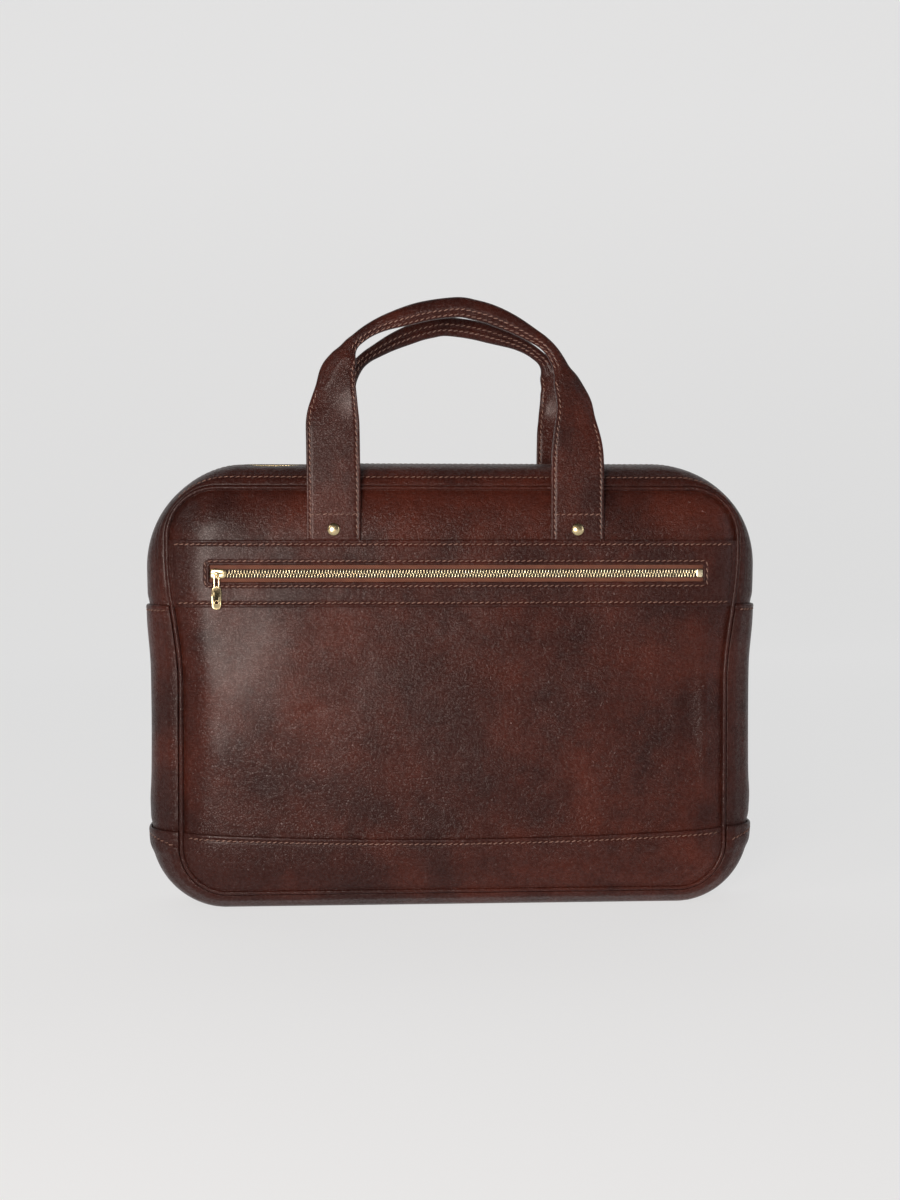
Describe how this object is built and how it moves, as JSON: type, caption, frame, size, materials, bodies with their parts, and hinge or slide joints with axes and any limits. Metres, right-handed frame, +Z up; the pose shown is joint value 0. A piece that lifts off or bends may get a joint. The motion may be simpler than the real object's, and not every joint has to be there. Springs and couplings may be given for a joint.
{
  "type": "leather document case",
  "caption": "Slim upright leather document case with carrying handles, a main zip over the top and a zipped front pocket.",
  "frame": {"origin": "centre of the flat base", "axes": "+X to the right seen from the front, the zipped front faces -Y, +Z up"},
  "size_m": [0.4097, 0.0932, 0.4021],
  "materials": {
    "leather": "waxed, mottled mahogany, soft gloss",
    "zip_tape": "woven tan zip tape",
    "brass": "polished, lightly worn"
  },
  "bodies": {
    "case": {"front_yoke": "leather", "front_pocket_panel": "leather", "zip_band": "leather", "foot_band": "leather", "front_zip_tape": "zip_tape", "front_zip_teeth": "brass", "front_zip_slider": "brass", "front_zip_end_stop": "brass", "back_panel": "leather", "front_piping": "leather", "back_piping": "leather", "top_gusset_front": "leather", "top_gusset_back": "leather", "top_zip_tape": "zip_tape", "top_zip_teeth": "brass", "top_zip_slider": "brass", "side_gusset_left": "leather", "side_gusset_right": "leather", "base_gusset": "leather", "front_handle": "leather", "front_rivet_left": "brass", "front_rivet_right": "brass", "back_handle": "leather", "back_rivet_left": "brass", "back_rivet_right": "brass"},
    "zip_pull": {"front_zip_pull": "brass"}
  },
  "joints": [
    {"name": "zip_pull_swing", "type": "hinge", "parent": "case", "child": "zip_pull", "pos_m": [-0.1559, -0.0444, 0.222], "axis": [-1, 0, 0], "range_deg": [0, 160]}
  ]
}
